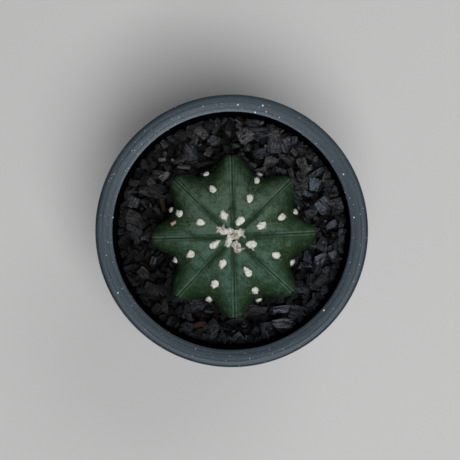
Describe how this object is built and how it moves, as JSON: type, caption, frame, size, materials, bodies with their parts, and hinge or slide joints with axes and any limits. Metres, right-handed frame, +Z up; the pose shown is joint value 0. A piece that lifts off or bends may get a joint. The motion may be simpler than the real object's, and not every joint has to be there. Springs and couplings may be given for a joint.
{
  "type": "potted cactus",
  "caption": "Low star-shaped cactus with woolly areoles, standing in dark grit in a round slate-glazed stoneware pot with a thick flat rim.",
  "frame": {"origin": "centre of the circle that the pot's foot stands on", "axes": "+Z up along the pot's axis; +X to the right and +Y to the top of the picture, which looks straight down"},
  "size_m": [0.11, 0.11, 0.1045],
  "materials": {
    "slate_glaze": "satin",
    "damp_mix": "matte",
    "dark_stone": "matte",
    "green_skin": "satin",
    "white_wool": "matte"
  },
  "bodies": {
    "root": {"pot": "slate_glaze", "potting_mix": "damp_mix", "grit": "dark_stone", "cactus_stem": "green_skin", "crown_wool": "white_wool"}
  },
  "joints": []
}
